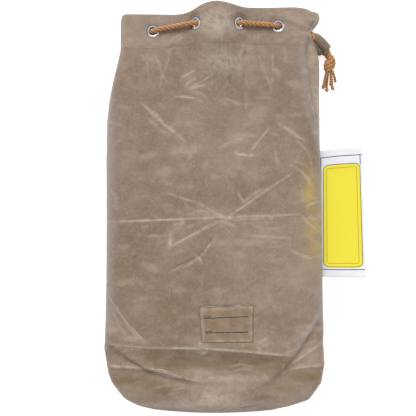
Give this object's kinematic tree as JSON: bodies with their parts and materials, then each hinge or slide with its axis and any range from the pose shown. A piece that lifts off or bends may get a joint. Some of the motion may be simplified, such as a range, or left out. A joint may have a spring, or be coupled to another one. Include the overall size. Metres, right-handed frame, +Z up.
{
  "type": "mail sack",
  "caption": "Empty waxed-canvas drawstring mail sack lying flat, with a rope through metal eyelets round the mouth, a knotted tassel, a name patch and a side tag.",
  "frame": {"origin": "on the floor under the middle of the sack, on the underside of its back panel", "axes": "+X to the sack's right as it lies face up, +Y towards its mouth, +Z up"},
  "size_m": [0.574, 0.9071, 0.0849],
  "materials": {
    "canvas": "waxed, worn matt with a soft sheen",
    "eyelet_nickel": "bright nickel plate",
    "washer_steel": "satin",
    "rope": "twisted natural fibre",
    "thread": "waxed thread",
    "patch_cloth": "matt canvas",
    "tag_cloth": "matt printed cotton"
  },
  "bodies": {
    "sack": {"front_panel": "canvas", "back_panel": "canvas", "base_disc": "canvas", "base_seam_welt": "canvas", "base_seam_thread": "thread", "side_seam_thread": "thread", "mouth_facing_back": "canvas", "hem_thread_back": "thread", "mouth_pleat": "canvas", "eyelet_5": "eyelet_nickel", "eyelet_6": "eyelet_nickel", "eyelet_7": "eyelet_nickel", "eyelet_8": "eyelet_nickel", "eyelet_9": "eyelet_nickel", "eyelet_10": "eyelet_nickel", "eyelet_washer_5": "washer_steel", "eyelet_washer_6": "washer_steel", "eyelet_washer_7": "washer_steel", "eyelet_washer_8": "washer_steel", "eyelet_washer_9": "washer_steel", "eyelet_washer_10": "washer_steel", "drawstring_back": "rope", "name_patch": "patch_cloth", "name_patch_thread": "thread", "side_tag_root": "tag_cloth"},
    "mouth_front": {"mouth_collar_front": "canvas", "mouth_facing_front": "canvas", "hem_thread_front": "thread", "eyelet_1": "eyelet_nickel", "eyelet_2": "eyelet_nickel", "eyelet_3": "eyelet_nickel", "eyelet_4": "eyelet_nickel", "eyelet_washer_1": "washer_steel", "eyelet_washer_2": "washer_steel", "eyelet_washer_3": "washer_steel", "eyelet_washer_4": "washer_steel", "drawstring_front": "rope"},
    "tag_flap": {"side_tag_flap": "tag_cloth", "side_tag_thread": "thread"},
    "drawstring_tails": {"drawstring_tail_1": "rope", "drawstring_tail_2": "rope", "drawstring_knot": "rope", "tassel_strand_1": "rope", "tassel_strand_2": "rope", "tassel_strand_3": "rope", "tassel_strand_4": "rope", "tassel_strand_5": "rope", "tassel_strand_6": "rope"}
  },
  "joints": [
    {"name": "mouth_open", "type": "hinge", "parent": "sack", "child": "mouth_front", "pos_m": [0, 0.30025, 0.0474], "axis": [1, 0, 0], "range_deg": [0, 30]},
    {"name": "tag_fold", "type": "hinge", "parent": "sack", "child": "tag_flap", "pos_m": [0.24585, -0.011, 0.0012], "axis": [0, -1, 0], "range_deg": [0, 95]},
    {"name": "drawstring_pull", "type": "slide", "parent": "sack", "child": "drawstring_tails", "axis": [0.7241, -0.6897, 0], "range_m": [0, 0.035]}
  ]
}
